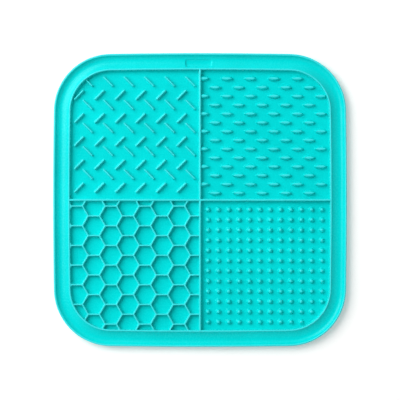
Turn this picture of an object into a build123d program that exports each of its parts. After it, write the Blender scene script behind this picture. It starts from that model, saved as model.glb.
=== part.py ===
from build123d import *
from math import hypot, sqrt
import os

os.makedirs("parts", exist_ok=True)

# A one-piece moulded lick mat, modelled by its moulded features: a flat sheet, a rim with a spill
# gutter, a wall and dividers that frame four fields, and a different pattern in each field.
# The origin is on the table under the middle of the mat, +Z up, sizes in millimetres.

# Plan: a square with round corners
mat_side = 203.0
corner_radius = 41.4

# Sheet that everything stands on
sheet_thickness = 2.2

# Rim, from the outer edge inwards; heights are above the sheet
lip_width = 1.5
lip_height = 3.8
lip_chamfer = 0.45
gutter_outer_run = 3.1
gutter_inner_run = 5.7
gutter_valley_height = 1.4

# Wall round the four fields, and the dividers between them
wall_width = 1.2
wall_height = 3.8
wall_chamfer = 0.35
divider_width = 1.4
divider_height = 3.8
divider_chamfer = 0.4

# The patterns in the fields are counted outwards from the middle of the mat, and each first column
# and first row is measured from there. What comes too near a wall is left out, or trimmed by it.

# Herringbone ribs, rear left: two sets of blades that lean opposite ways
rib_length = 9.3
rib_width = 1.1
rib_height = 2.8
rib_lean = 45.0
rib_draft = 4.0
rib_column_pitch = 14.19
rib_row_pitch = 16.05
backslash_first_column = 6.75
backslash_first_row = 17.8
slash_first_column = 12.85
slash_first_row = 8.5
rib_wall_margin = 1.5

# Oval nubs, rear right: staggered rows of pointed ovals with flat facets on their sides
oval_length = 8.0
oval_width = 2.5
oval_height = 2.8
oval_draft = 11.0
oval_side_facets = 4
oval_column_pitch = 16.26
oval_row_pitch = 6.09
oval_first_column = 10.3
oval_first_row = 4.93
oval_wall_margin = 1.3

# Honeycomb, front left: upright hexagonal cells, flat sides towards the front and back
cell_flats = 12.55
cell_wall = 1.05
cell_first_column = 2.77
cell_first_row = 4.2
cell_height = 3.4

# Round nubs, front right, on a square grid
nub_diameter = 2.7
nub_height = 2.6
nub_draft = 13.0
nub_sides = 8
nub_column_pitch = 7.167
nub_row_pitch = 7.064
nub_first_column = 5.4
nub_first_row = 6.56
nub_wall_margin = 0.5

# Worked out from the sizes above
rim_width = lip_width + gutter_outer_run + gutter_inner_run
field_inset = rim_width + wall_width
field_half = mat_side / 2 - field_inset
corner_centre = mat_side / 2 - corner_radius
cell_pitch = cell_flats + cell_wall
cell_column_pitch = cell_pitch * sqrt(3) / 2
cell_side = cell_flats / sqrt(3)
sheet_plane = Plane.XY.offset(sheet_thickness)
tallest = max(lip_height, wall_height, divider_height)
rear_left = (-1, 1)
rear_right = (1, 1)
front_left = (-1, -1)
front_right = (1, -1)


def mat_plan(plane, inset):
    # plan of the mat, everywhere the same distance in from its outer edge
    side = mat_side - 2 * inset
    with BuildSketch(plane) as plan:
        RectangleRounded(side, side, corner_radius - inset)
    return plan.sketch


def field_plan(field):
    # plan of one field, between its wall and its dividers
    to_middle = (mat_side + divider_width) / 2
    with BuildSketch(sheet_plane) as plan:
        add(four_fields)
        with Locations((field[0] * to_middle, field[1] * to_middle)):
            Rectangle(mat_side, mat_side, mode=Mode.INTERSECT)
    return plan.sketch


def section_plane(path):
    # upright plane across the start of a path round the mat, X inwards and Y up
    across = (path % 0).cross(Vector(0, 0, 1))
    inwards = across if across.dot(path @ 0) < 0 else -across
    return Plane(origin=path @ 0, x_dir=inwards, z_dir=inwards.cross(Vector(0, 0, 1)))


def strip_section(plane, width, height, edge):
    # upright strip with chamfered top edges, drawn about its own middle
    with BuildSketch(plane) as section:
        with Locations((0, height / 2)):
            Rectangle(width, height)
        chamfer(section.vertices().group_by(Axis.Z)[-1], length=edge)
    return section.sketch


def field_depth(u, v):
    # how far a point stands inside its field, from the nearest of its wall and its dividers;
    # u and v run from the middle of the mat towards the field's own two sides
    depth = min(min(u, v) - divider_width / 2, field_half - max(u, v))
    if min(u, v) > corner_centre:
        depth = min(depth, corner_radius - field_inset - hypot(u - corner_centre, v - corner_centre))
    return depth


def grid_in_field(field, first_column, first_row, column_pitch, row_pitch, least_depth):
    # points of a grid that stand deep enough in one field, which is named by its side of X and of Y
    columns = range(-1, int(mat_side / 2 / column_pitch) + 2)
    rows = range(-1, int(mat_side / 2 / row_pitch) + 2)
    spots = [(first_column + i * column_pitch, first_row + j * row_pitch) for i in columns for j in rows]
    return [(field[0] * u, field[1] * v) for u, v in spots if field_depth(u, v) > least_depth]


def cell_wall_points(column_step, row_step):
    # middles of the honeycomb walls that lie one step away from the middle of each cell; the cells
    # stand in columns, and every other column is shifted by half a cell
    points = []
    for shift in (0, 1):
        first_column = cell_first_column + column_step + shift * cell_column_pitch
        first_row = cell_first_row + row_step + shift * cell_pitch / 2
        points += grid_in_field(
            front_left, first_column, first_row, 2 * cell_column_pitch, cell_pitch, -cell_pitch / 2
        )
    return points


four_fields = mat_plan(sheet_plane, field_inset)

with BuildPart() as base_sheet:
    extrude(mat_plan(Plane.XY, 0), amount=sheet_thickness)
base_sheet.part.label = "base_sheet"
export_step(base_sheet.part, "parts/base_sheet.step")

# lip and gutter: one section carried round the outer edge
outer_edge = mat_plan(sheet_plane, 0).wire()
with BuildPart() as spill_gutter:
    with BuildSketch(section_plane(outer_edge)):
        with BuildLine():
            crease = (lip_width, lip_height - lip_chamfer)
            valley = (lip_width + gutter_outer_run, gutter_valley_height)
            gutter_end = (rim_width, wall_height - wall_chamfer)
            Polyline(
                gutter_end,
                (rim_width, 0),
                (0, 0),
                (0, lip_height - lip_chamfer),
                (lip_chamfer, lip_height),
                (lip_width - lip_chamfer, lip_height),
                crease,
            )
            TangentArc(valley, crease, tangent=(-1, 0))
            TangentArc(valley, gutter_end, tangent=(1, 0))
        make_face()
    sweep(path=outer_edge)
spill_gutter.part.label = "spill_gutter"
export_step(spill_gutter.part, "parts/spill_gutter.step")

wall_line = mat_plan(sheet_plane, rim_width + wall_width / 2).wire()
with BuildPart() as field_wall:
    sweep(strip_section(section_plane(wall_line), wall_width, wall_height, wall_chamfer), path=wall_line)
field_wall.part.label = "field_wall"
export_step(field_wall.part, "parts/field_wall.step")

# the long divider runs from wall to wall, and each cross divider from the wall to its flank
arm_length = field_half - divider_width / 2
divider_runs = (
    ("long_divider", Vector(0, field_half), Vector(0, -1), 2 * field_half),
    ("left_cross_divider", Vector(-field_half, 0), Vector(1, 0), arm_length),
    ("right_cross_divider", Vector(field_half, 0), Vector(-1, 0), arm_length),
)
for name, start, heading, length in divider_runs:
    start_plane = Plane(start + sheet_plane.origin, x_dir=Vector(0, 0, 1).cross(heading), z_dir=heading)
    with BuildPart() as divider:
        extrude(strip_section(start_plane, divider_width, divider_height, divider_chamfer), amount=length)
    divider.part.label = name
    export_step(divider.part, f"parts/{name}.step")

backslash_points = grid_in_field(
    rear_left, backslash_first_column, backslash_first_row, rib_column_pitch, rib_row_pitch, rib_wall_margin
)
slash_points = grid_in_field(
    rear_left, slash_first_column, slash_first_row, rib_column_pitch, rib_row_pitch, rib_wall_margin
)
rib_sets = (("backslash_ribs", backslash_points, -rib_lean), ("slash_ribs", slash_points, rib_lean))
for name, points, lean in rib_sets:
    with BuildPart() as ribs:
        with BuildSketch(sheet_plane):
            with Locations(points):
                Rectangle(rib_length, rib_width, rotation=lean)
        extrude(amount=rib_height, taper=rib_draft)
        extrude(field_plan(rear_left), amount=tallest, mode=Mode.INTERSECT)
    ribs.part.label = name
    export_step(ribs.part, f"parts/{name}.step")

# every other row of ovals is shifted by half a column
oval_points = []
for shift in (0, 1):
    first_column = oval_first_column - shift * oval_column_pitch / 2
    first_row = oval_first_row + shift * oval_row_pitch
    oval_points += grid_in_field(
        rear_right, first_column, first_row, oval_column_pitch, 2 * oval_row_pitch, oval_wall_margin
    )

# each side of an oval is an arc from tip to tip, drawn as a few flat facets
oval_arc = Edge.make_three_point_arc((oval_length / 2, 0), (0, oval_width / 2), (-oval_length / 2, 0))
with BuildPart() as oval_nubs:
    with BuildSketch(mode=Mode.PRIVATE) as oval_outline:
        with BuildLine():
            Polyline(*[oval_arc @ (facet / oval_side_facets) for facet in range(oval_side_facets + 1)])
            mirror(about=Plane.XZ)
        make_face()
    with BuildSketch(sheet_plane):
        with Locations(oval_points):
            add(oval_outline.sketch)
    extrude(amount=oval_height, taper=oval_draft)
    extrude(field_plan(rear_right), amount=tallest, mode=Mode.INTERSECT)
oval_nubs.part.label = "oval_nubs"
export_step(oval_nubs.part, "parts/oval_nubs.step")

# three honeycomb walls meet at each corner of a cell; the level walls are pointed, and fill the corners
corner_tip = cell_side / 2 + cell_wall * sqrt(3) / 2
with BuildPart() as level_cell_walls:
    with BuildSketch(sheet_plane):
        with Locations(cell_wall_points(0, cell_pitch / 2)):
            Polygon(
                (corner_tip, 0),
                (cell_side / 2, cell_wall / 2),
                (-cell_side / 2, cell_wall / 2),
                (-corner_tip, 0),
                (-cell_side / 2, -cell_wall / 2),
                (cell_side / 2, -cell_wall / 2),
            )
    extrude(amount=cell_height)
    extrude(field_plan(front_left), amount=tallest, mode=Mode.INTERSECT)
level_cell_walls.part.label = "level_cell_walls"
export_step(level_cell_walls.part, "parts/level_cell_walls.step")

# the slanted walls stand at 60 degrees, between the corners
for name, row_side, slant in (("rising_cell_walls", -1, 60), ("falling_cell_walls", 1, -60)):
    with BuildPart() as slanted_walls:
        with BuildSketch(sheet_plane):
            with Locations(cell_wall_points(cell_column_pitch / 2, row_side * cell_pitch / 4)):
                Rectangle(cell_side, cell_wall, rotation=slant)
        extrude(amount=cell_height)
        extrude(field_plan(front_left), amount=tallest, mode=Mode.INTERSECT)
    slanted_walls.part.label = name
    export_step(slanted_walls.part, f"parts/{name}.step")

nub_least_depth = nub_diameter / 2 + nub_wall_margin
nub_points = grid_in_field(
    front_right, nub_first_column, nub_first_row, nub_column_pitch, nub_row_pitch, nub_least_depth
)

with BuildPart() as round_nubs:
    with BuildSketch(sheet_plane):
        with Locations(nub_points):
            RegularPolygon(nub_diameter / 2, nub_sides, rotation=180 / nub_sides)
    extrude(amount=nub_height, taper=nub_draft)
round_nubs.part.label = "round_nubs"
export_step(round_nubs.part, "parts/round_nubs.step")
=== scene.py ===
import math

import bmesh
import bpy
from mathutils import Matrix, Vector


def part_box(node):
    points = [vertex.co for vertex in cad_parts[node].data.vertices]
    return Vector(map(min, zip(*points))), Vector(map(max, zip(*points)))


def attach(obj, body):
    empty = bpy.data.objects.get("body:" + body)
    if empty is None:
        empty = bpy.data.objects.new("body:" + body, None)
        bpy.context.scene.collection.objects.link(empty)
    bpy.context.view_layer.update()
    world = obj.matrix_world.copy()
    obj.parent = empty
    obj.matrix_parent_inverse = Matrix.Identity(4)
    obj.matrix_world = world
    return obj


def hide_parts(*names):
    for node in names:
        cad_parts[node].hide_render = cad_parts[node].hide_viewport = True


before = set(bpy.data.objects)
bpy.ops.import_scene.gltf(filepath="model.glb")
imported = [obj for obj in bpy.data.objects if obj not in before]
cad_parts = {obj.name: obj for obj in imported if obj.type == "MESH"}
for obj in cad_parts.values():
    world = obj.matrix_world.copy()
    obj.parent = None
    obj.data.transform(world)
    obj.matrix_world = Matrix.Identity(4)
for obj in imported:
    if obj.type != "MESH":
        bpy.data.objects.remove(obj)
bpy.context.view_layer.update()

mm = 0.001  # every shape below is worked out in millimetres
print("frame loaded with", len(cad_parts), "CAD nodes")


def highMm(node):
    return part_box(node)[1] / mm


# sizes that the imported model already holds
halfSide = highMm("base_sheet").x
sheetTop = highMm("base_sheet").z
rimWidth = halfSide - highMm("field_wall").x
wallWidth = highMm("field_wall").y - highMm("long_divider").y
fieldInset = rimWidth + wallWidth
dividerHalf = highMm("long_divider").x
sink = 0.2  # what stands on the sheet reaches this far into it, so no gap shows
shadeBreak = math.radians(40)  # edges sharper than this stay crisp
studRootSteps = 3  # faces round the fillet at the foot of a stud
studCrownSteps = 8
halvings = 24  # a point too far into a wall is drawn back by halving, this many times
samePlace = 0.001  # points nearer than this are one


# materials

def hexColour(code):
    # sRGB hex to linear RGBA
    parts = [int(code[i:i + 2], 16) / 255 for i in (1, 3, 5)]
    return [p / 12.92 if p <= 0.04045 else ((p + 0.055) / 1.055) ** 2.4 for p in parts] + [1.0]


# sockets of the node that mixes two colours
mixShare, mixFrom, mixTo, mixResult = 0, 6, 7, 2


def addNode(tree, kind, settings=None, links=None):
    node = tree.nodes.new(kind)
    for key, value in (settings or {}).items():
        if isinstance(key, int) or key in node.inputs:
            node.inputs[key].default_value = value
        else:
            setattr(node, key, value)
    for socket, source in (links or {}).items():
        tree.links.new(source, node.inputs[socket])
    return node


def newMaterial(name):
    material = bpy.data.materials.new(name)
    material.use_nodes = True
    material.node_tree.nodes.clear()
    return material, material.node_tree


siliconeLook = {
    "deep": "#00DAD9",
    "light": "#00E2E1",
    "paintedHighlight": "#40E6EA",     # painted highlight: the tops of ridges, lip and studs are painted this paler colour to stand in for the light they catch
    "patchMm": 34.0,        # pigment never mixes quite evenly: soft patches, a few percent apart
    "noiseLow": 0.3,        # nearly all of a noise lies between these two
    "noiseHigh": 0.7,
    "roughLow": 0.24,
    "roughHigh": 0.30,
    "grainMm": 1.1,         # the mould's spark-eroded grain is about 0.1 mm, too fine to show, so it is
                            # drawn coarser
    "grainHeightMm": 0.003,
    "waveMm": 22.0,         # a soft sheet never lies dead flat
    "waveHeightMm": 0.05,
    "ior": 1.41,
    "specular": 0.3,        # under the usual 0.5: the fine grain breaks up part of the reflection,
    "specularTint": "#C8FFFF",  # and what is left takes a little of the pigment
    "subsurface": 0.06,
    "subsurfaceMm": 1.2,
    "subsurfaceSpread": (0.3, 1.0, 1.0),  # the pigment stops red light first
}


def mouldedSilicone():
    # liquid silicone, moulded in a spark-eroded tool: a satin skin with soft broad highlights on every
    # ridge, partly from its gloss and partly a painted highlight on the tops, a strong even pigment, and a
    # little light that bleeds through the thin walls
    material, tree = newMaterial("moulded_satin_silicone")
    look = siliconeLook
    place = addNode(tree, "ShaderNodeTexCoord").outputs["Object"]
    patches = addNode(tree, "ShaderNodeTexNoise",
                      {"Scale": 1 / (look["patchMm"] * mm), "Detail": 3.0, "Roughness": 0.55},
                      {"Vector": place})
    pigment = addNode(tree, "ShaderNodeValToRGB", links={"Fac": patches.outputs["Fac"]})
    pigment.color_ramp.elements[0].position = look["noiseLow"]
    pigment.color_ramp.elements[0].color = hexColour(look["deep"])
    pigment.color_ramp.elements[1].position = look["noiseHigh"]
    pigment.color_ramp.elements[1].color = hexColour(look["light"])
    # painted highlight: each piece's mask mixes its tops towards the paler colour
    paintedHighlight = addNode(tree, "ShaderNodeAttribute", {"attribute_name": "paintedHighlight"})
    colour = addNode(tree, "ShaderNodeMix", {"data_type": "RGBA", mixTo: hexColour(look["paintedHighlight"])},
                     {mixShare: paintedHighlight.outputs["Fac"], mixFrom: pigment.outputs["Color"]})
    grain = addNode(tree, "ShaderNodeTexNoise",
                    {"Scale": 1 / (look["grainMm"] * mm), "Detail": 2.0, "Roughness": 0.6},
                    {"Vector": place})
    satin = addNode(tree, "ShaderNodeMapRange",
                    {"From Min": look["noiseLow"], "From Max": look["noiseHigh"],
                     "To Min": look["roughLow"], "To Max": look["roughHigh"]},
                    {"Value": grain.outputs["Fac"]})
    wave = addNode(tree, "ShaderNodeTexNoise",
                   {"Scale": 1 / (look["waveMm"] * mm), "Detail": 1.0, "Roughness": 0.4},
                   {"Vector": place})
    waviness = addNode(tree, "ShaderNodeBump",
                       {"Strength": 1.0, "Distance": look["waveHeightMm"] * mm},
                       {"Height": wave.outputs["Fac"]})
    skin = addNode(tree, "ShaderNodeBump",
                   {"Strength": 1.0, "Distance": look["grainHeightMm"] * mm},
                   {"Height": grain.outputs["Fac"], "Normal": waviness.outputs["Normal"]})
    surface = addNode(tree, "ShaderNodeBsdfPrincipled",
                      {"IOR": look["ior"], "Specular IOR Level": look["specular"],
                       "Specular Tint": hexColour(look["specularTint"]),
                       "Subsurface Weight": look["subsurface"],
                       "Subsurface Radius": look["subsurfaceSpread"],
                       "Subsurface Scale": look["subsurfaceMm"] * mm},
                      {"Base Color": colour.outputs[mixResult], "Roughness": satin.outputs["Result"],
                       "Normal": skin.outputs["Normal"]})
    addNode(tree, "ShaderNodeOutputMaterial", links={"Surface": surface.outputs["BSDF"]})
    return material


paperLook = {
    "white": "#FAFAF9",
    "lift": 0.19,     # seen straight or in a reflection, the sweep is a little brighter, so it looks white
    "farLift": 0.85,  # more so away from the mat, where less of the lamp's light reaches it
    "nearMm": 250.0,
    "farMm": 1200.0,
}


def studioPaper():
    # matt white paper: no gloss, and it takes the shadow
    material, tree = newMaterial("matt_white_paper")
    paper = addNode(tree, "ShaderNodeBsdfDiffuse", {"Color": hexColour(paperLook["white"])})
    path = addNode(tree, "ShaderNodeLightPath")
    seen = addNode(tree, "ShaderNodeMath", {"operation": "ADD"},
                   {0: path.outputs["Is Camera Ray"], 1: path.outputs["Is Glossy Ray"]})
    seenAtAll = addNode(tree, "ShaderNodeMath", {"operation": "ADD"},
                        {0: seen.outputs["Value"], 1: path.outputs["Is Transmission Ray"]})
    place = addNode(tree, "ShaderNodeTexCoord").outputs["Object"]
    away = addNode(tree, "ShaderNodeVectorMath", {"operation": "LENGTH"}, {0: place})
    whiter = addNode(tree, "ShaderNodeMapRange",
                     {"interpolation_type": "SMOOTHSTEP",
                      "From Min": paperLook["nearMm"] * mm, "From Max": paperLook["farMm"] * mm,
                      "To Min": paperLook["lift"], "To Max": paperLook["farLift"]},
                     {"Value": away.outputs["Value"]})
    lift = addNode(tree, "ShaderNodeMath", {"operation": "MULTIPLY"},
                   {0: seenAtAll.outputs["Value"], 1: whiter.outputs["Result"]})
    glow = addNode(tree, "ShaderNodeEmission", links={"Strength": lift.outputs["Value"]})
    both = addNode(tree, "ShaderNodeAddShader",
                   links={0: paper.outputs["BSDF"], 1: glow.outputs["Emission"]})
    addNode(tree, "ShaderNodeOutputMaterial", links={"Surface": both.outputs["Shader"]})
    return material


silicone = mouldedSilicone()
print("materials made")


# shared ways of making a piece

def smoothStep(share):
    share = min(max(share, 0.0), 1.0)
    return share * share * (3 - 2 * share)


def makePiece(name, verts, faces, paintedHighlightBand, *nodes):
    mesh = bpy.data.meshes.new(name)
    mesh.from_pydata([[value * mm for value in vert] for vert in verts], [], faces)
    shape = bmesh.new()
    shape.from_mesh(mesh)
    # flat faces with holes in them close what is still open at a level
    openEdges = [edge for edge in shape.edges if edge.is_boundary]
    levels = {round(edge.verts[0].co.z / mm, 3) for edge in openEdges}
    for level in sorted(levels):
        edges = [edge for edge in openEdges if round(edge.verts[0].co.z / mm, 3) == level]
        bmesh.ops.triangle_fill(shape, use_beauty=True, use_dissolve=False, edges=edges)
    bmesh.ops.recalc_face_normals(shape, faces=shape.faces)
    shape.to_mesh(mesh)
    shape.free()
    mesh.shade_smooth()
    mesh.set_sharp_from_angle(angle=shadeBreak)
    mesh.materials.append(silicone)
    # painted highlight mask: full at the piece's top, fading to nothing over the band below it
    top = max(vert.co.z for vert in mesh.vertices)
    paintedHighlight = mesh.attributes.new("paintedHighlight", "FLOAT", "POINT")
    for vert in mesh.vertices:
        below = (top - vert.co.z) / mm
        paintedHighlight.data[vert.index].value = smoothStep(1 - below / paintedHighlightBand) if paintedHighlightBand else 0.0
    piece = bpy.data.objects.new(name, mesh)
    bpy.context.scene.collection.objects.link(piece)
    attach(piece, "root")
    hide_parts(*nodes)
    print(name, "made with", len(mesh.polygons), "faces")


def spread(start, end, count):
    return [start + (end - start) * i / count for i in range(count + 1)]


def arcPoints(centre, radius, start, end, count):
    # points of an arc, angles in degrees
    turns = [math.radians(angle) for angle in spread(start, end, count)]
    return [(centre[0] + radius * math.cos(t), centre[1] + radius * math.sin(t)) for t in turns]


def addRings(verts, faces, rings):
    # skin between rings of equally many points, each closed on itself
    first = len(verts)
    count = len(rings[0])
    for ring in rings:
        verts.extend(ring)
    for level in range(len(rings) - 1):
        low = first + level * count
        for i in range(count):
            j = (i + 1) % count
            faces.append((low + i, low + j, low + count + j, low + count + i))
    return first


def addStud(verts, faces, rings):
    # rings from the foot to the top, closed at both ends
    first = addRings(verts, faces, rings)
    count = len(rings[0])
    top = first + (len(rings) - 1) * count
    faces.append([first + i for i in range(count)])
    faces.append([top + i for i in range(count)])


def studProfile(stud, top):
    # (height, how far the side stands out from its waist): skirt in the sheet, root, side, crown
    flare = stud["flare"]
    levels = [(sheetTop - sink, flare)]
    for turn in spread(0, math.pi / 2, studRootSteps):
        levels.append((sheetTop + flare * (1 - math.cos(turn)), flare * (1 - math.sin(turn))))
    crownFoot = top - stud["crownHeight"]
    draftRun = (crownFoot - sheetTop - flare) * math.tan(math.radians(stud["draft"]))
    for turn in spread(0, math.pi / 2, studCrownSteps):
        outwards = -draftRun - stud["crownRun"] * (1 - math.cos(turn))
        levels.append((crownFoot + stud["crownHeight"] * math.sin(turn), outwards))
    return levels


# rim: outer edge, lip, gutter and field wall all follow the same line round the mat

rim = {
    "sideRadius": 3500.0,   # each side bows out by half a millimetre
    "cornerRadius": 39.6,
    "sideSteps": 24,
    "cornerSteps": 44,
    "lipWidth": 1.5,
    "valleyInset": 4.7,     # lowest line of the gutter, from the outer edge
    "valleyHeight": 3.5,
    "slopeEnd": 5.4,        # height where the gutter's slope meets the wall
    "edgeRound": 0.45,      # bottom edge of the sheet
    "wallDraft": 2.0,
    "wallFlare": 0.3,       # root fillet in the fields
    "paintedHighlightBand": 0.45,      # the painted highlight on the tops fades out over this height
    "edgeSteps": 5,
    "lipSteps": 12,
    "outerSlopeSteps": 12,
    "innerSlopeSteps": 26,
    "crownSteps": 14,
    "rootSteps": 5,
}

# shallow bare tablet pressed into the gutter's inner slope, at the rear; its floor is more level than
# the slope
tablet = {
    "middle": -0.9,
    "length": 18.0,
    "nearInset": 4.3,
    "farInset": 9.4,
    "cornerRound": 1.3,
    "nearDepth": 0.45,
    "farDepth": 1.5,        # next to the wall
    "edge": 0.6,            # width of the step round it
    "spacing": 0.32,        # of the stations along it
    "clear": 2e-4,          # radians that keep its stations apart from the rest of the side's
}

sideBack = rim["sideRadius"] - halfSide
cornerReach = rim["sideRadius"] - rim["cornerRadius"]
cornerAt = (math.sqrt(2 * cornerReach ** 2 - sideBack ** 2) - sideBack) / 2
sideTurn = math.atan2(cornerAt, cornerAt + sideBack)
rearQuarter = 1  # the sides count from the right one, counter-clockwise


def rimStations():
    # (centre x, centre y, radius, direction outwards) of the arc at each station, counter-clockwise
    stations = []
    for quarter in range(4):
        facing = quarter * math.pi / 2
        along, across = math.cos(facing), math.sin(facing)
        turns = spread(-sideTurn, sideTurn, rim["sideSteps"])[:-1]
        if quarter == rearQuarter:
            reach = tablet["length"] / 2 + 2 * tablet["edge"]
            count = int(2 * reach / tablet["spacing"])
            near = [-math.asin(x / rim["sideRadius"])
                    for x in spread(tablet["middle"] + reach, tablet["middle"] - reach, count)]
            first, last = near[0] - tablet["clear"], near[-1] + tablet["clear"]
            turns = sorted([t for t in turns if not first < t < last] + near)
        for turn in turns:
            stations.append((-sideBack * along, -sideBack * across, rim["sideRadius"], facing + turn))
        cornerX = cornerAt * (along - across)
        cornerY = cornerAt * (along + across)
        for turn in spread(sideTurn, math.pi / 2 - sideTurn, rim["cornerSteps"])[:-1]:
            stations.append((cornerX, cornerY, rim["cornerRadius"], facing + turn))
    return stations


stations = rimStations()
rearRight = (1, 1)
frontRight = (1, -1)


def rimPoint(station, inset):
    centreX, centreY, radius, turn = station
    return centreX + (radius - inset) * math.cos(turn), centreY + (radius - inset) * math.sin(turn)


def fieldDepth(x, y, field):
    # how far inside a field a point stands, from the nearest wall or divider; the field is named by
    # its side of X and of Y
    x, y = x * field[0], y * field[1]
    sideReach = rim["sideRadius"] - fieldInset
    depth = min(sideReach - math.hypot(x + sideBack, y), sideReach - math.hypot(x, y + sideBack))
    if min(x, y) > cornerAt:
        depth = min(depth, rim["cornerRadius"] - fieldInset - math.hypot(x - cornerAt, y - cornerAt))
    return min(depth, x - dividerHalf, y - dividerHalf)


def heldInField(x, y, middle, overlap):
    # a point drawn towards the middle of its stud, until it reaches no more than the overlap into a wall
    field = (math.copysign(1, middle[0]), math.copysign(1, middle[1]))
    if fieldDepth(x, y, field) >= -overlap:
        return x, y
    low, high = 0.0, 1.0
    for halving in range(halvings):
        share = (low + high) / 2
        there = (middle[0] + share * (x - middle[0]), middle[1] + share * (y - middle[1]))
        if fieldDepth(*there, field) >= -overlap:
            low = share
        else:
            high = share
    return middle[0] + low * (x - middle[0]), middle[1] + low * (y - middle[1])


def tabletSink(x, inset):
    # depth of the tablet at a point of the rear slope
    halfLength = tablet["length"] / 2
    halfWidth = (tablet["farInset"] - tablet["nearInset"]) / 2
    across = abs(x - tablet["middle"]) - halfLength + tablet["cornerRound"]
    down = abs(inset - tablet["nearInset"] - halfWidth) - halfWidth + tablet["cornerRound"]
    outside = math.hypot(max(across, 0), max(down, 0)) + min(max(across, down), 0) - tablet["cornerRound"]
    share = min(max((inset - tablet["nearInset"]) / (2 * halfWidth), 0), 1)
    depth = tablet["nearDepth"] + share * (tablet["farDepth"] - tablet["nearDepth"])
    return depth * smoothStep(0.5 - outside / tablet["edge"])


lipTop = highMm("spill_gutter").z
wallTop = highMm("field_wall").z
lipRound = rim["lipWidth"] / 2
wallRound = wallWidth / 2


def gutterProfile():
    # (inset, height), from the foot of the outer side over the lip and through the valley to the wall
    valley, valleyHeight = rim["valleyInset"], rim["valleyHeight"]
    # the arc inside the lip is level in the valley and runs smoothly into the lip's round top
    lipMiddle = (lipRound, lipTop - lipRound)
    run, rise = valley - lipRound, lipMiddle[1] - valleyHeight
    outerRadius = (run ** 2 + rise ** 2 - lipRound ** 2) / (2 * (lipRound + rise))
    outerTurn = math.degrees(math.atan2(run, outerRadius - rise))
    # the arc up to the wall is level in the valley and ends on the wall's outer face
    run, rise = rimWidth - valley, rim["slopeEnd"] - valleyHeight
    innerRadius = (run ** 2 + rise ** 2) / (2 * rise)
    innerTurn = math.degrees(math.asin(run / innerRadius))
    profile = [(0, sheetTop)]
    profile += arcPoints(lipMiddle, lipRound, 180, 90 - outerTurn, rim["lipSteps"])
    middle = (valley, valleyHeight + outerRadius)
    profile += arcPoints(middle, outerRadius, 270 - outerTurn, 270, rim["outerSlopeSteps"])[1:]
    middle = (valley, valleyHeight + innerRadius)
    profile += arcPoints(middle, innerRadius, 270, 270 + innerTurn, rim["innerSlopeSteps"])[1:]
    # the ring reaches a little way into the wall
    profile += [(rimWidth + sink, rim["slopeEnd"]), (rimWidth + sink, sheetTop)]
    return profile


def wallProfile():
    # (inset, height), from the foot behind the gutter over the crown to the root in the field
    flare = rim["wallFlare"]
    middle = rimWidth + wallRound
    crownFoot = wallTop - wallRound
    profile = [(rimWidth, sheetTop - sink), (rimWidth, crownFoot - wallRound)]
    profile += arcPoints((middle, crownFoot), wallRound, 180, 0, rim["crownSteps"])
    waist = fieldInset + (crownFoot - sheetTop - flare) * math.tan(math.radians(rim["wallDraft"]))
    profile += arcPoints((waist + flare, sheetTop + flare), flare, 180, 270, rim["rootSteps"])
    profile += [(waist + flare, sheetTop - sink)]
    return profile


def sweepRound(name, profile, node, sinkAt=None):
    rings = []
    for station in stations:
        ring = []
        for inset, height in profile:
            x, y = rimPoint(station, inset)
            drop = sinkAt(x, inset) if sinkAt and y > 0 and height > sheetTop else 0
            ring.append((x, y, height - drop))
        rings.append(ring)
    verts, faces = [], []
    addRings(verts, faces, rings + rings[:1])
    # the last ring is the first one again
    count = len(profile)
    last = len(stations) * count
    faces = [[i - last if i >= last else i for i in face] for face in faces]
    makePiece(name, verts[:last], faces, rim["paintedHighlightBand"], node)


def makeSheet():
    # flat sheet with a softened bottom edge
    edge = rim["edgeRound"]
    turns = spread(0, math.pi / 2, rim["edgeSteps"])
    section = [(edge - edge * math.sin(t), edge - edge * math.cos(t)) for t in turns]
    section.append((0, sheetTop))
    rings = [[(*rimPoint(station, inset), height) for station in stations] for inset, height in section]
    verts, faces = [], []
    addStud(verts, faces, rings)
    makePiece("sheet", verts, faces, 0, "base_sheet")


makeSheet()
sweepRound("lip_and_gutter", gutterProfile(), "spill_gutter", tabletSink)
sweepRound("round_topped_wall", wallProfile(), "field_wall")


# dividers: straight round-topped walls that run into the field wall and into each other

divider = {
    "draft": 2.0,
    "flare": 0.3,
    "paintedHighlightBand": 0.45,
    "runIn": 0.55,  # how far the ends reach into what they meet
    "rootSteps": 5,
    "crownSteps": 16,
}


def dividerSection(top):
    # (sideways, height), right round one divider
    flare = divider["flare"]
    crownFoot = top - dividerHalf
    waist = dividerHalf + (crownFoot - sheetTop - flare) * math.tan(math.radians(divider["draft"]))
    right = [(waist + flare, sheetTop - sink)]
    right += arcPoints((waist + flare, sheetTop + flare), flare, 270, 180, divider["rootSteps"])
    crown = arcPoints((0, crownFoot), dividerHalf, 0, 180, divider["crownSteps"])
    left = [(-side, height) for side, height in reversed(right)]
    return right + crown + left


def makeDivider(name, node, start, end):
    # start and end are points in plan
    length = math.dist(start, end)
    alongX, alongY = (end[0] - start[0]) / length, (end[1] - start[1]) / length
    rings = []
    for x, y in (start, end):
        rings.append([(x - alongY * side, y + alongX * side, height)
                      for side, height in dividerSection(highMm(node).z)])
    verts, faces = [], []
    addStud(verts, faces, rings)
    makePiece(name, verts, faces, divider["paintedHighlightBand"], node)


dividerEnd = halfSide - fieldInset + divider["runIn"]
crossStart = dividerHalf - divider["runIn"]
makeDivider("divider_long", "long_divider", (0, -dividerEnd), (0, dividerEnd))
makeDivider("divider_left", "left_cross_divider", (-dividerEnd, 0), (-crossStart, 0))
makeDivider("divider_right", "right_cross_divider", (crossStart, 0), (dividerEnd, 0))


# herringbone ribs, rear left

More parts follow.
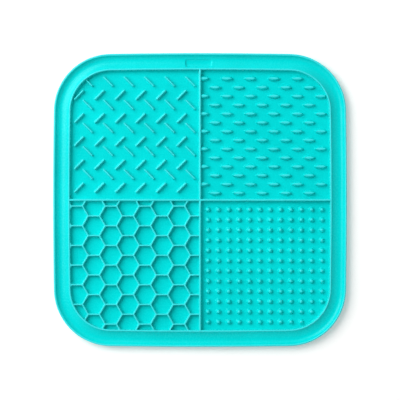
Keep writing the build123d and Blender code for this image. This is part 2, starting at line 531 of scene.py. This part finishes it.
ribs = {
    "length": 9.3,
    "width": 1.2,
    "backslashFirst": (-77.7, 82.0),  # rear row, leftmost column
    "slashFirst": (-83.8, 72.7),
    "lean": 45,             # degrees, one set to each side
    "columns": 6,
    "rows": 5,
    "pitch": (14.19, -16.05),
    "flare": 0.5,
    "draft": 3.0,
    "crownHeight": 0.42,
    "crownRun": 0.40,
    "paintedHighlightBand": 0.4,
    "endSteps": 8,
    "overlap": 0.4,         # how far a rib may reach into a wall
}


def makeRibs(name, node, first, lean):
    alongX, alongY = math.cos(math.radians(lean)), math.sin(math.radians(lean))
    halfRun = (ribs["length"] - ribs["width"]) / 2
    levels = studProfile(ribs, highMm(node).z)
    verts, faces = [], []
    for column in range(ribs["columns"]):
        for row in range(ribs["rows"]):
            middle = (first[0] + column * ribs["pitch"][0], first[1] + row * ribs["pitch"][1])
            rings = []
            for height, outwards in levels:
                radius = ribs["width"] / 2 + outwards
                outline = arcPoints((halfRun, 0), radius, -90, 90, ribs["endSteps"])
                outline += arcPoints((-halfRun, 0), radius, 90, 270, ribs["endSteps"])
                ring = []
                for u, v in outline:
                    x = middle[0] + u * alongX - v * alongY
                    y = middle[1] + u * alongY + v * alongX
                    ring.append((*heldInField(x, y, middle, ribs["overlap"]), height))
                rings.append(ring)
            addStud(verts, faces, rings)
    makePiece(name, verts, faces, ribs["paintedHighlightBand"], node)


makeRibs("ribs_backslash", "backslash_ribs", ribs["backslashFirst"], -ribs["lean"])
makeRibs("ribs_slash", "slash_ribs", ribs["slashFirst"], ribs["lean"])


# pointed oval nubs, rear right, every other row shifted by half a column

ovals = {
    "length": 8.4,
    "width": 3.2,
    "point": 1.4,           # above 1 the ends come to a point
    "columnPitch": 16.26,
    "rowPitch": 6.09,
    "rows": 14,
    "columns": 7,
    "first": (10.3, 4.93),  # front row, first column
    "flare": 0.3,
    "draft": 4.0,
    "crownHeight": 2.2,
    "crownRun": 1.45,
    "paintedHighlightBand": 0.3,
    "outlinePoints": 36,
    "leastDepth": 1.3,      # an oval whose middle is nearer to a wall is left out
    "overlap": 0.4,
}


def makeOvals():
    levels = studProfile(ovals, highMm("oval_nubs").z)
    verts, faces = [], []
    for row in range(ovals["rows"]):
        shift = row % 2 * ovals["columnPitch"] / 2
        for column in range(ovals["columns"]):
            middle = (ovals["first"][0] - shift + column * ovals["columnPitch"],
                      ovals["first"][1] + row * ovals["rowPitch"])
            if fieldDepth(*middle, rearRight) < ovals["leastDepth"]:
                continue
            rings = []
            for height, outwards in levels:
                ring = []
                for turn in spread(0, 2 * math.pi, ovals["outlinePoints"])[:-1]:
                    side = math.copysign(abs(math.sin(turn)) ** ovals["point"], math.sin(turn))
                    x = middle[0] + (ovals["length"] / 2 + outwards) * math.cos(turn)
                    y = middle[1] + (ovals["width"] / 2 + outwards) * side
                    ring.append((*heldInField(x, y, middle, ovals["overlap"]), height))
                rings.append(ring)
            addStud(verts, faces, rings)
    makePiece("ovals", verts, faces, ovals["paintedHighlightBand"], "oval_nubs")


makeOvals()


# honeycomb, front left: one lattice with a hole for each cell

cells = {
    "flats": 12.55,
    "wall": 1.05,
    "first": (-2.77, -4.2),
    "columns": 9,
    "rows": 8,
    "cornerRound": 0.7,
    "flare": 0.25,
    "draft": 1.5,
    "crown": 0.3,
    "paintedHighlightBand": 0.35,
    "turnSteps": 4,         # round each corner of a cell
    "rootSteps": 3,
    "crownSteps": 5,
    "overlap": 0.5,         # how far a cut cell reaches into the wall that cuts it
    "frameOverlap": 0.9,    # how far the lattice itself does
    "endGap": 0.5,          # the field's curve stops this far from the dividers
    "smallest": 1.0,        # half the width under which a cut cell stays filled
}


def clipped(polygon, point, inwards):
    # the part of a polygon on the inner side of a line
    def depth(p):
        return (p[0] - point[0]) * inwards[0] + (p[1] - point[1]) * inwards[1]

    kept = []
    for i, here in enumerate(polygon):
        before = polygon[i - 1]
        a, b = depth(before), depth(here)
        if (a < 0) != (b < 0):
            share = a / (a - b)
            kept.append((before[0] + share * (here[0] - before[0]),
                         before[1] + share * (here[1] - before[1])))
        if b >= 0:
            kept.append(here)
    return [p for i, p in enumerate(kept) if math.dist(p, kept[i - 1]) > samePlace]


def edgesOf(polygon):
    # (start, direction inwards) of each edge of a counter-clockwise polygon
    edges = []
    for i, start in enumerate(polygon):
        end = polygon[(i + 1) % len(polygon)]
        length = math.dist(start, end)
        edges.append((start, (-(end[1] - start[1]) / length, (end[0] - start[0]) / length)))
    return edges


def cutBy(polygon, outline, inset=0.0):
    # a polygon cut by a convex outline, whose edges first move inwards
    for start, inwards in edgesOf(outline):
        moved = (start[0] + inset * inwards[0], start[1] + inset * inwards[1])
        polygon = clipped(polygon, moved, inwards)
        if len(polygon) < 3:
            return []
    return polygon


def frontLeftOutline(overlap):
    # the front left field, reaching a little way into its walls and dividers
    inner = -dividerHalf + overlap
    # stations that face from the left round to the front
    curve = [rimPoint(s, fieldInset - overlap) for s in stations if math.pi <= s[3] <= 1.5 * math.pi]
    curve = [p for p in curve if max(p) < inner - cells["endGap"]]
    return [(curve[0][0], inner)] + curve + [(inner, curve[-1][1]), (inner, inner)]


def roundedOutline(core, radius):
    # a convex polygon grown by a radius, with round corners
    inwards = [edge[1] for edge in edgesOf(core)]
    ring = []
    for i, (x, y) in enumerate(core):
        start = math.atan2(-inwards[i - 1][1], -inwards[i - 1][0])
        turn = (math.atan2(-inwards[i][1], -inwards[i][0]) - start) % (2 * math.pi)
        for angle in spread(start, start + turn, cells["turnSteps"]):
            ring.append((x + radius * math.cos(angle), y + radius * math.sin(angle)))
    return ring


def cellCores():
    # the middle part of each cell, which grows back to the cell's outline; the rows start one early,
    # because the cross divider cuts the first cell of every other column
    pitch = cells["flats"] + cells["wall"]
    columnPitch = pitch * math.sqrt(3) / 2
    outline = frontLeftOutline(cells["overlap"])
    cores = []
    for column in range(cells["columns"]):
        for row in range(-1, cells["rows"]):
            x = cells["first"][0] - column * columnPitch
            y = cells["first"][1] - row * pitch - column % 2 * pitch / 2
            hexagon = arcPoints((x, y), cells["flats"] / math.sqrt(3), 0, 360, 6)[:-1]
            cell = cutBy(hexagon, outline)
            if cell and cutBy(cell, cell, cells["smallest"]):
                cores.append(cutBy(cell, cell, cells["cornerRound"]))
    return cores


def makeHoneycomb():
    top = highMm("level_cell_walls").z
    foot = sheetTop - sink
    flare, crown = cells["flare"], cells["crown"]
    draftRun = (top - crown - sheetTop - flare) * math.tan(math.radians(cells["draft"]))
    levels = [(foot, -flare)]
    for turn in spread(0, math.pi / 2, cells["rootSteps"]):
        levels.append((sheetTop + flare * (1 - math.cos(turn)), -flare * (1 - math.sin(turn))))
    for turn in spread(0, math.pi / 2, cells["crownSteps"]):
        levels.append((top - crown * (1 - math.sin(turn)), draftRun + crown * (1 - math.cos(turn))))
    verts, faces = [], []
    frameOutline = frontLeftOutline(cells["frameOverlap"])
    addRings(verts, faces, [[(x, y, height) for x, y in frameOutline] for height in (foot, top)])
    for core in cellCores():
        addRings(verts, faces, [
            [(x, y, height) for x, y in roundedOutline(core, cells["cornerRound"] + outwards)]
            for height, outwards in levels
        ])
    makePiece("honeycomb", verts, faces, cells["paintedHighlightBand"],
              "level_cell_walls", "rising_cell_walls", "falling_cell_walls")


makeHoneycomb()


# domed round nubs, front right, on a square grid

nubs = {
    "width": 3.4,
    "first": (5.4, -6.56),
    "pitch": (7.167, -7.064),
    "count": 12,
    "flare": 0.3,
    "draft": 4.0,
    "crownHeight": 2.1,
    "crownRun": 1.55,
    "paintedHighlightBand": 0.3,
    "outlinePoints": 24,
    "leastDepth": 1.85,     # a nub whose middle is nearer to a wall is left out
}


def makeNubs():
    levels = studProfile(nubs, highMm("round_nubs").z)
    verts, faces = [], []
    for column in range(nubs["count"]):
        for row in range(nubs["count"]):
            middle = (nubs["first"][0] + column * nubs["pitch"][0],
                      nubs["first"][1] + row * nubs["pitch"][1])
            if fieldDepth(*middle, frontRight) < nubs["leastDepth"]:
                continue
            rings = []
            for height, outwards in levels:
                radius = nubs["width"] / 2 + outwards
                ring = arcPoints(middle, radius, 0, 360, nubs["outlinePoints"])[:-1]
                rings.append([(x, y, height) for x, y in ring])
            addStud(verts, faces, rings)
    makePiece("nubs", verts, faces, nubs["paintedHighlightBand"], "round_nubs")


makeNubs()


# white paper sweep: level under the mat, then curving up all round

sweep = {
    "innerRadius": 60.0,    # two rings break up the level part
    "midRadius": 700.0,
    "flatRadius": 2600.0,
    "curve": 300.0,
    "height": 700.0,
    "steps": 96,
    "curveSteps": 10,
}


def makeSweep():
    section = [(sweep["innerRadius"], 0.0), (sweep["midRadius"], 0.0)]
    bend = (sweep["flatRadius"], sweep["curve"])
    section += arcPoints(bend, sweep["curve"], 270, 360, sweep["curveSteps"])
    section.append((sweep["flatRadius"] + sweep["curve"], sweep["height"]))
    turns = spread(0, 2 * math.pi, sweep["steps"])[:-1]
    rings = [[(r * math.cos(t) * mm, r * math.sin(t) * mm, z * mm) for t in turns] for r, z in section]
    verts, faces = [], []
    addRings(verts, faces, rings)
    faces.append(list(range(sweep["steps"])))
    mesh = bpy.data.meshes.new("paper_sweep")
    mesh.from_pydata(verts, [], faces)
    mesh.shade_smooth()
    mesh.materials.append(studioPaper())
    floor = bpy.data.objects.new("paper_sweep", mesh)
    bpy.context.scene.collection.objects.link(floor)


makeSweep()


# studio light: one large soft box at the rear left, and an even fill from everywhere but overhead

light = {
    "azimuth": 147.0,       # degrees from +X, counter-clockwise
    "elevation": 44.0,
    "distance": 1.4,        # metres, as is the size
    "size": 1.12,
    "power": 19.3,          # watts
    "fill": 0.62,           # strength, where 1 is white
    "ceiling": 0.0,         # straight above, behind the camera, the studio is dark
    "ceilingFrom": 0.85,    # height on the sky, from 0 level to 1 overhead, where it starts to darken
}


def makeLight():
    turn, rise = math.radians(light["azimuth"]), math.radians(light["elevation"])
    lamp = bpy.data.lights.new("soft_box", "AREA")
    lamp.shape = "SQUARE"
    lamp.size = light["size"]
    lamp.energy = light["power"]
    box = bpy.data.objects.new("soft_box", lamp)
    flat = light["distance"] * math.cos(rise)
    box.location = (flat * math.cos(turn), flat * math.sin(turn), light["distance"] * math.sin(rise))
    box.rotation_euler = (math.pi / 2 - rise, 0, turn + math.pi / 2)
    box.visible_camera = False
    bpy.context.scene.collection.objects.link(box)
    world = bpy.data.worlds.new("studio_fill")
    world.use_nodes = True
    tree = world.node_tree
    tree.nodes.clear()
    direction = addNode(tree, "ShaderNodeTexCoord").outputs["Generated"]
    height = addNode(tree, "ShaderNodeSeparateXYZ", links={"Vector": direction})
    fill = addNode(tree, "ShaderNodeMapRange",
                   {"interpolation_type": "SMOOTHSTEP", "From Min": light["ceilingFrom"], "From Max": 1.0,
                    "To Min": light["fill"], "To Max": light["ceiling"]},
                   {"Value": height.outputs["Z"]})
    sky = addNode(tree, "ShaderNodeBackground", links={"Strength": fill.outputs["Result"]})
    addNode(tree, "ShaderNodeOutputWorld", links={"Surface": sky.outputs["Background"]})
    bpy.context.scene.world = world


makeLight()


# camera: straight down, as far away as a product shot's long lens stands

shot = {
    "frameWidth": 276.2,  # millimetres across the image at the height of the lip
    "lens": 135.0,
    "sensor": 36.0,
}


def makeCamera():
    lens = bpy.data.cameras.new("camera")
    lens.lens = shot["lens"]
    lens.sensor_width = shot["sensor"]
    camera = bpy.data.objects.new("camera", lens)
    away = shot["frameWidth"] * shot["lens"] / shot["sensor"]
    camera.location = (0, 0, (lipTop + away) * mm)
    bpy.context.scene.collection.objects.link(camera)
    bpy.context.scene.camera = camera


makeCamera()
bpy.context.scene.view_settings.view_transform = "Standard"
print("paper sweep, light and camera set")
